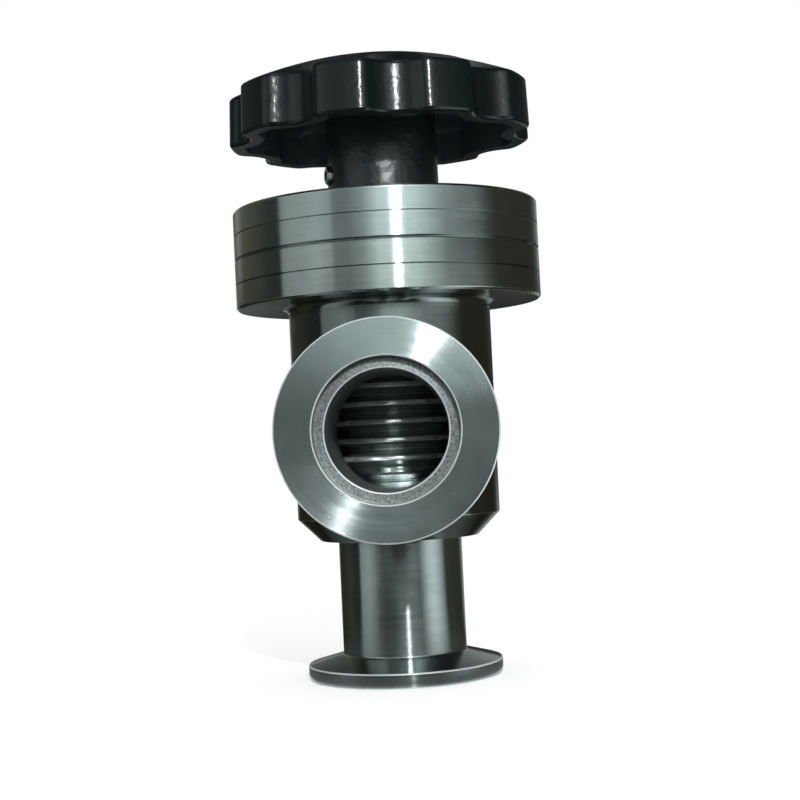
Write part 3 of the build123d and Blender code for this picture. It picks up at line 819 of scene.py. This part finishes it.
# Handwheel: scalloped rim under a dome, every edge rounded along the scallops

wheel = {
    "radius": 31.48, "scallops": 9, "firstScallop": 7.8, "scallopRound": 7.0, "scallopDepth": 3.3,
    "corner": 3.0, "leastCorner": 0.12, "domeRise": 6.9, "edgeFrom": 0.78, "lowerRound": 0.8,
    "upperRound": 0.6, "rimHeight": 10.0, "rimWall": 3.2, "lipRound": 0.25, "lipHeight": 3.0,
    "draft": 0.3, "roof": 3.6, "roofFillet": 1.6, "hubRadius": 11.5, "hubEdge": 0.6,
    "insertRadius": 7.54, "insertTop": 10.05, "aroundScallop": 44, "crownRings": 15,
    "sharpAngle": 50,
}
wheelLow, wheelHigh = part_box("handwheel")
wheelTop = wheelHigh.z
hubLow = wheelLow.z
rimLow = wheelTop - (wheel["domeRise"] + wheel["rimHeight"]) * mm
wheelOuter = wheel["radius"] * mm       # the box ends in a scallop, so lobes reach a little further


def rimRadius(angle, inset):
    # Distance from the axis to the scalloped outline, moved inwards by inset.
    outer = wheelOuter - inset
    cutter = wheel["scallopRound"] * mm
    away = wheelOuter - wheel["scallopDepth"] * mm + cutter
    cutter += inset
    corner = max(wheel["corner"] * mm - inset, wheel["leastCorner"] * mm)
    step = 2 * math.pi / wheel["scallops"]
    turned = (angle - math.radians(wheel["firstScallop"] - 90)) % step
    turned = min(turned, step - turned)
    cornerAway = outer - corner
    cosine = (cornerAway ** 2 + away ** 2 - (cutter + corner) ** 2) / (2 * cornerAway * away)
    lobeAngle = math.acos(min(1, cosine))
    cornerSpot = Vector((cornerAway * math.cos(lobeAngle), cornerAway * math.sin(lobeAngle)))
    touch = Vector((away, 0)) + (cornerSpot - Vector((away, 0))).normalized() * cutter
    if turned >= lobeAngle:
        return outer
    if turned >= math.atan2(touch.y, touch.x):
        off = turned - lobeAngle
        reach = math.sqrt(max(0, corner ** 2 - (cornerAway * math.sin(off)) ** 2))
        return cornerAway * math.cos(off) + reach
    reach = math.sqrt(max(0, cutter ** 2 - (away * math.sin(turned)) ** 2))
    return away * math.cos(turned) - reach


def domeHeight(radius, rim):
    # A round dome that falls to the same height all along the outline, scallops included.
    near = max(0, (radius / rim - wheel["edgeFrom"]) / (1 - wheel["edgeFrom"]))
    near = near * near * (3 - 2 * near) if near < 1 else 1
    across = radius / wheelOuter * (1 - near) + radius / rim * near
    return wheelTop - wheel["domeRise"] * mm * across ** 2


def quarter(steps):
    # A round in so many steps, as pairs whose first runs from 0 to 1 and second from 1 to 0.
    for k in range(steps + 1):
        angle = math.pi / 2 * k / steps
        yield 1 - math.cos(angle), 1 - math.sin(angle)


def wheelStations():
    # Each station is (plain radius, inset of the outline, share of the outline, height, on the
    # dome), from the insert's bore out through the hollow, round the rim and up to the crown.
    hub, wall, draft, insert = (wheel[key] * mm for key in ("hubRadius", "rimWall", "draft",
                                                            "insertRadius"))
    edge, lower, upper = (wheel[key] * mm for key in ("hubEdge", "lowerRound", "upperRound"))
    fillet, lip, lipHeight = (wheel[key] * mm for key in ("roofFillet", "lipRound", "lipHeight"))
    roof = -wheel["roof"] * mm
    rings = wheel["crownRings"]
    return [
        (insert, 0, 0, hubLow, 0),
        *((hub - edge * fall, 0, 0, hubLow + edge * rise, 0) for rise, fall in quarter(4)),
        (hub, 0, 0, (hubLow + rimLow) / 2, 0),
        *((hub + fillet * rise, 0, 0, roof - fillet * fall, 1) for rise, fall in quarter(5)),
        *((hub + fillet, wall + fillet, share, roof, 1) for share in (0.25, 0.5, 0.75)),
        *((0, wall + fillet * fall, 1, roof - fillet * rise, 1) for rise, fall in quarter(5)),
        (0, wall, 1, rimLow + lipHeight, 0),
        *((0, wall - lip * rise, 1, rimLow + lip * fall, 0) for rise, fall in quarter(3)),
        *((0, lower * fall, 1, rimLow + lower * rise, 0) for rise, fall in quarter(10)),
        *((0, draft + upper * rise, 1, -upper * fall, 1) for rise, fall in quarter(8)),
        *((0, draft + upper, 1 - k / rings, 0, 1) for k in range(1, rings)),
    ]


def makeHandwheel():
    turns = wheel["scallops"] * wheel["aroundScallop"]
    angles = [2 * math.pi * k / turns for k in range(turns)]
    stations = wheelStations()
    points = []
    for plain, inset, share, height, onDome in stations:
        for angle in angles:
            outline = rimRadius(angle, inset) * share if share else 0
            radius = plain * (1 - share) + outline
            dome = domeHeight(radius, rimRadius(angle, 0)) if onDome else 0
            points.append(around(radius, angle, height + dome))
    crown = len(points)
    topRow = crown - turns
    boreTop = crown + 1
    boreEnd = boreTop + turns
    insertTop = wheelTop - wheel["insertTop"] * mm
    points.append((0, 0, wheelTop))
    points += [around(wheel["insertRadius"] * mm, angle, insertTop) for angle in angles]
    points.append((0, 0, insertTop))
    faces = ringFaces(len(stations), turns)
    for k in range(turns):
        right = (k + 1) % turns
        faces.append((topRow + k, topRow + right, crown))
        faces.append((boreTop + k, boreTop + right, right, k))
        faces.append((boreEnd, boreTop + right, boreTop + k))
    piece = makePiece("domedHandwheel", points, faces)

    # finish 1 on the hub's outside, 2, painted lighter, in the hollow down to the rim's lip, and 0
    # on the rest
    hollow = next(row for row, station in enumerate(stations) if station[4])
    lip = next(row for row, station in enumerate(stations) if station[3] == rimLow)
    finishes = [1] * (hollow * turns) + [2] * ((lip - hollow) * turns)
    finishes += [0] * (len(faces) - len(finishes))
    piece.data.polygons.foreach_set("material_index", finishes)
    bm = bmesh.new()
    bm.from_mesh(piece.data)
    bmesh.ops.recalc_face_normals(bm, faces=bm.faces)
    bm.to_mesh(piece.data)
    bm.free()
    evenNormals(piece, wheel["sharpAngle"])
    plastics = [materials["wheel_plastic"], blackMoulding("hubGloss", hubGloss),
                blackMoulding("hollowMattPaintedLight", hollowMattPaintedLight)]
    dress(piece, plastics, "wheel", "handwheel")


makeHandwheel()
print("handwheel moulded")


# Camera at the photograph's angle

view = {
    "place": (0.00984, -0.31523, 0.04720), "aim": (0.00133, 0.0, 0.05660), "roll": -2.736,
    "lens": 68.41, "sensor": 36, "nearest": 0.01,
}


def makeCamera():
    data = bpy.data.cameras.new("photoCamera")
    data.lens = view["lens"]
    data.sensor_width = view["sensor"]
    data.clip_start = view["nearest"]
    camera = bpy.data.objects.new("photoCamera", data)
    bpy.context.scene.collection.objects.link(camera)
    place = Vector(view["place"])
    facing = (Vector(view["aim"]) - place).to_track_quat("-Z", "Y")
    camera.location = place
    camera.rotation_mode = "QUATERNION"
    camera.rotation_quaternion = facing @ Quaternion((0, 0, 1), math.radians(view["roll"]))
    bpy.context.scene.camera = camera


makeCamera()
print("camera placed")


# Studio: pale floor, plain world, one lamp and the room of cards that the metal reflects

studio = {
    "worldLevel": 0.70, "floorHalf": 3.0, "floorTone": 0.82, "floorLift": 0.44,
    "lampAzimuth": 10.0, "lampElevation": 21.6, "lampAway": 1.15, "lampSize": 0.04,
    "lampPower": 5.0, "middle": (0, 0, 0.06),
    "cardRadius": 1.6, "cardStep": 6, "cardStrength": 2.0, "matHeight": 0.1,
    "plain": (0.92, 1.0, 0.97), "warm": (1.0, 0.93, 0.68), "cool": (0.84, 1.0, 1.0),
    # degrees above level between which one row of cards gives way to the next, and to the mat
    "lowBlend": (-4.5, -1.0), "highBlend": (5.2, 8.1), "baseBlend": (-64, -50), "baseTone": 0.36,
    # degrees from and to, with the brightness at each
    "fades": ((12, 28, 1, 0.5), (38, 58, 1, 0.36), (64, 72, 1, 4), (-55, -30, 0.45, 1)),
}
cardRows = [-70, -60, -50, -40, -30, -22, -16, -12, -9, -7, -5, -4, -3, -2.1, 0, 5, 10, 20, 30, 45,
            60, 75, 90]
# Cards, by direction: degrees right of the camera's side, brightness, and warmth from -1 to 1
upperCards = [
    (-180, 0.04, 0), (-174, 0.08, 0), (-168, 0.15, 0), (-160, 0.14, 0.3), (-152, 0.16, 0.5),
    (-146, 0.30, 0), (-139, 0.24, 0.3), (-134, 0.14, 1), (-122, 0.13, 1), (-108, 0.10, 0.6),
    (-97, 0.06, 0), (-83, 0.05, -0.4), (-81, 0.45, 0), (-62, 0.58, 0), (-50, 0.78, 0),
    (-38.5, 0.70, 0), (-36.5, 0.36, -0.3), (-26, 0.36, -0.3), (-14, 0.68, -0.2), (-3, 1.6, -0.2),
    (16, 1.8, -0.2), (24, 1.6, -0.2), (34, 1.10, -0.2), (46, 0.36, -0.2), (58, 0.15, -0.2),
    (72, 0.05, -0.3), (82, 0.025, 0), (96, 0.045, 1), (142, 0.04, 1), (153, 0.14, 0),
    (168, 0.45, 0), (180, 0.05, 0),
]
middleCards = [
    (-180, 0.03, 0), (-174, 0.15, 0), (-167, 0.36, 0), (-158, 0.22, 0), (-148, 0.04, 1),
    (-122, 0.04, 1), (-97, 0.035, 0), (-83, 0.035, 0), (-81, 0.22, 0), (-62, 0.30, 0),
    (-50, 0.27, 0), (-38, 0.16, 0), (-26, 0.13, -0.3), (-14, 0.13, -0.3), (-7, 0.12, -0.2),
    (-4, 0.20, -0.2), (12, 0.21, -0.2), (22, 0.17, -0.2), (34, 0.16, -0.2), (46, 0.30, 0),
    (70, 0.30, 0), (80, 0.14, 0), (90, 0.06, 1), (110, 0.045, 1), (140, 0.04, 1),
    (152, 0.04, 0), (166, 0.05, 0), (180, 0.03, 0),
]
lowerCards = [
    (-180, 0.02, 0), (-173, 0.03, 0), (-168, 0.14, 0), (-159, 0.13, 0), (-150, 0.02, 1),
    (-122, 0.035, 1), (-108, 0.05, 1), (-94, 0.03, 0), (-80, 0.025, 0), (-77, 0.34, 0),
    (-60, 0.42, 0), (-48, 0.22, 0), (-42, 0.06, 0), (-36, 0.03, 0), (-20, 0.02, -0.3),
    (0, 0.01, -0.3), (20, 0.02, -0.3), (34, 0.06, 0), (42, 0.50, 0), (50, 1.0, 0), (60, 1.2, 0),
    (74, 0.76, 0), (84, 0.30, 0), (88, 0.06, 1), (110, 0.05, 1), (134, 0.04, 1), (144, 0.07, 0.5),
    (154, 0.32, 0), (165, 0.36, 0), (171, 0.06, 0), (180, 0.02, 0),
]


def seenDirectly(tree):
    # 1 for the camera and for what shows in metal, 0 for light on the object
    path = addNode(tree, "ShaderNodeLightPath")
    seen = mathNode(tree, "MAXIMUM", path.outputs["Is Camera Ray"], path.outputs["Is Glossy Ray"])
    return mathNode(tree, "MAXIMUM", seen, path.outputs["Is Transmission Ray"])


def makeWorld():
    world = bpy.data.worlds.new("plainWorld")
    bpy.context.scene.world = world
    world.use_nodes = True
    tree = world.node_tree
    background = tree.nodes["Background"]
    background.inputs["Color"].default_value = (1, 1, 1, 1)
    level = spread(tree, seenDirectly(tree), 0, 1, studio["worldLevel"], 1)
    join(tree, level, background.inputs["Strength"])


def makeFloor():
    half = studio["floorHalf"]
    corners = [(-half, -half, 0), (half, -half, 0), (half, half, 0), (-half, half, 0)]
    floor = makePiece("paleFloor", corners, [(0, 1, 2, 3)])
    material, tree, surface = bareMaterial("paleFloor")
    matte = addNode(tree, "ShaderNodeBsdfDiffuse")
    matte.inputs["Color"].default_value = (studio["floorTone"],) * 3 + (1,)
    glow = addNode(tree, "ShaderNodeEmission")
    lift = mathNode(tree, "MULTIPLY", seenDirectly(tree), studio["floorLift"])
    join(tree, lift, glow.inputs["Strength"])
    both = addNode(tree, "ShaderNodeAddShader")
    join(tree, matte.outputs[0], both.inputs[0])
    join(tree, glow.outputs[0], both.inputs[1])
    join(tree, both.outputs[0], surface)
    floor.data.materials.append(material)


def direction(azimuth, elevation):
    a, e = math.radians(azimuth), math.radians(elevation)
    return Vector((math.sin(a) * math.cos(e), -math.cos(a) * math.cos(e), math.sin(e)))


def makeLamp():
    data = bpy.data.lights.new("keyLamp", "AREA")
    data.shape = "DISK"
    data.size = studio["lampSize"]
    data.energy = studio["lampPower"]
    lamp = bpy.data.objects.new("keyLamp", data)
    bpy.context.scene.collection.objects.link(lamp)
    towards = direction(studio["lampAzimuth"], studio["lampElevation"])
    lamp.location = Vector(studio["middle"]) + towards * studio["lampAway"]
    lamp.rotation_mode = "QUATERNION"
    lamp.rotation_quaternion = (-towards).to_track_quat("-Z", "Y")


def cardTone(level, warmth=0):
    brightness = level / studio["cardStrength"]
    tint = studio["warm"] if warmth > 0 else studio["cool"]
    share = abs(warmth)
    return tuple(brightness * (p * (1 - share) + t * share) for p, t in zip(studio["plain"], tint))


def cardRamp(tree, turn, stops):
    ramp = addNode(tree, "ShaderNodeValToRGB")
    join(tree, turn, ramp.inputs["Fac"])
    elements = ramp.color_ramp.elements
    for place, (angle, brightness, warmth) in enumerate(stops):
        stop = elements[place] if place < 2 else elements.new(1)
        stop.position = (angle + 180) / 360
        stop.color = (*cardTone(brightness, warmth), 1)
    return ramp.outputs["Color"]


def cardRoom(middle):
    # A wall of cards that closes in below level, where it lies as a mat just over the floor.
    lowest = middle.z - studio["matHeight"] * mm
    azimuths = range(-180, 180, studio["cardStep"])
    points = []
    for elevation in cardRows:
        for azimuth in azimuths:
            towards = direction(azimuth, elevation)
            away = studio["cardRadius"]
            if elevation < 0:
                away = min(away, -lowest / towards.z)
            points.append(middle + towards * away)
    return makePiece("reflectionCards", points, ringFaces(len(cardRows), len(azimuths)))


def makeCards():
    middle = Vector(studio["middle"])
    room = cardRoom(middle)
    material, tree, surface = bareMaterial("reflectionCards")
    towards = addNode(tree, "ShaderNodeVectorMath", operation="NORMALIZE")
    join(tree, fromCentre(tree, objectSpot(tree), middle), towards.inputs[0])
    sides = splitVector(tree, towards.outputs[0])
    azimuth = mathNode(tree, "ARCTAN2", sides["X"], mathNode(tree, "MULTIPLY", sides["Y"], -1))
    turn = spread(tree, azimuth, -math.pi, math.pi, 0, 1)
    rise = mathNode(tree, "ARCSINE", sides["Z"])

    def overRise(degrees, *levels, eased=False):
        return spread(tree, rise, *map(math.radians, degrees), *levels, eased)

    colour = cardRamp(tree, turn, lowerCards)
    for cards, span in ((middleCards, "lowBlend"), (upperCards, "highBlend")):
        share = overRise(studio[span], 0, 1, eased=True)
        colour = blend(tree, share, colour, cardRamp(tree, turn, cards))
    share = overRise(studio["baseBlend"], 1, 0)
    colour = blend(tree, share, colour, cardTone(studio["baseTone"]))
    fade = 1
    for start, end, *levels in studio["fades"]:
        fade = mathNode(tree, "MULTIPLY", fade, overRise((start, end), *levels))
    fade = mathNode(tree, "MULTIPLY", fade, studio["cardStrength"])
    glow = addNode(tree, "ShaderNodeEmission")
    join(tree, colour, glow.inputs["Color"])
    join(tree, fade, glow.inputs["Strength"])
    join(tree, glow.outputs[0], surface)
    room.data.materials.append(material)
    # the cards show in reflections only
    room.visible_camera = False
    room.visible_diffuse = False
    room.visible_transmission = False
    room.visible_shadow = False


makeWorld()
makeFloor()
makeLamp()
makeCards()
bpy.context.scene.view_settings.view_transform = "Standard"
print("studio set")
